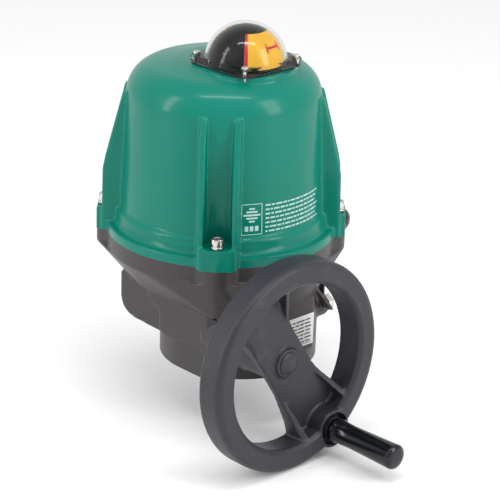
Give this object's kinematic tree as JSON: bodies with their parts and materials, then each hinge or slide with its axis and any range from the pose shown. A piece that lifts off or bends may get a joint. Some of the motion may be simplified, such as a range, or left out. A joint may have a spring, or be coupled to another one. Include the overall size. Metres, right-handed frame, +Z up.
{
  "type": "motorized valve actuator",
  "caption": "Quarter-turn electric valve actuator with cast housing, domed cover, sight dome, geared handwheel and square-drive mounting base",
  "frame": {"origin": "centre of the mounting face under the housing, where the valve's stem enters", "axes": "+Z up along the output shaft, -Y towards the handwheel, +X towards the cable glands"},
  "size_m": [0.256, 0.2993, 0.3138],
  "materials": {
    "cast_epoxy": "satin epoxy coat on cast aluminium",
    "green_paint": "gloss coat on cast aluminium",
    "black_rubber": "matt",
    "stainless": "bright",
    "clear_plastic": "clear polished",
    "label": "satin film",
    "aluminium": "milled",
    "bronze": "machined",
    "steel": "ground",
    "black_plastic": "gloss moulded",
    "wheel_plastic": "satin moulded",
    "yellow_plastic": "gloss",
    "red_plastic": "gloss",
    "orange_plastic": "satin",
    "white_plastic": "satin",
    "motor_steel": "dark plated",
    "board": "solder mask",
    "blue_plastic": "satin",
    "green_plastic": "satin",
    "gold_anodised": "anodised"
  },
  "bodies": {
    "casing": {"housing": "cast_epoxy", "cover": "green_paint", "cover_seal": "black_rubber", "cover_screws": "stainless", "cover_washers": "stainless", "dome": "clear_plastic", "dome_seal": "black_rubber", "dome_screws": "stainless", "nameplate": "label", "gear_cover": "aluminium", "gear_cover_screws": "steel", "output_bush_lower": "bronze", "output_bush_upper": "bronze", "output_seal": "black_rubber", "indicator_bush": "white_plastic", "worm_bush_front": "bronze", "worm_bush_rear": "bronze", "worm_seal": "black_rubber", "gear_frame": "aluminium", "idler_arbor": "steel", "gear_head": "aluminium", "motor_can": "motor_steel", "capacitor": "aluminium", "end_stop_bolts": "stainless", "switch_bracket": "aluminium", "limit_switches": "black_plastic", "board_posts": "gold_anodised", "control_board": "board", "terminal_block": "green_plastic", "board_parts": "blue_plastic", "heater": "gold_anodised", "gland_bodies": "black_plastic", "gland_nuts": "black_plastic", "gland_plugs": "black_rubber", "earth_screw": "stainless"},
    "output": {"output_shaft": "steel", "toothed_sector": "bronze", "sector_key": "steel", "indicator_shaft": "steel", "indicator_black": "black_plastic", "indicator_yellow": "yellow_plastic", "indicator_red": "red_plastic", "travel_cams": "orange_plastic"},
    "handwheel": {"handwheel": "wheel_plastic", "hub_cap": "wheel_plastic", "handle_spindle": "steel", "worm_shaft": "steel", "worm": "steel", "shaft_gear": "bronze"},
    "handle": {"handle_grip": "black_plastic"},
    "idler": {"idler_gear": "white_plastic"},
    "pinion": {"motor_pinion": "bronze"}
  },
  "joints": [
    {"name": "handwheel_turn", "type": "hinge", "parent": "casing", "child": "handwheel", "pos_m": [-0.0525, 0, 0.0385], "axis": [0, 1, 0], "range_deg": [0, 3960]},
    {"name": "output_turn", "type": "hinge", "parent": "casing", "child": "output", "pos_m": [0, 0, 0], "axis": [0, 0, -1], "range_deg": [0, 90]},
    {"name": "idler_turn", "type": "hinge", "parent": "casing", "child": "idler", "pos_m": [-0.04474, 0, 0.06748], "axis": [0, 1, 0], "range_deg": [-1980, 0]},
    {"name": "pinion_turn", "type": "hinge", "parent": "casing", "child": "pinion", "pos_m": [-0.02896, 0, 0.09], "axis": [0, 1, 0], "range_deg": [0, 5280]},
    {"name": "handle_spin", "type": "hinge", "parent": "handwheel", "child": "handle", "pos_m": [-0.01192, -0.15, -0.02398], "axis": [0, 1, 0], "continuous": true}
  ],
  "couplings": [
    {"joint": "output_turn", "follows": "handwheel_turn", "ratio": 0.022727},
    {"joint": "idler_turn", "follows": "handwheel_turn", "ratio": -0.5},
    {"joint": "pinion_turn", "follows": "handwheel_turn", "ratio": 1.3333}
  ]
}
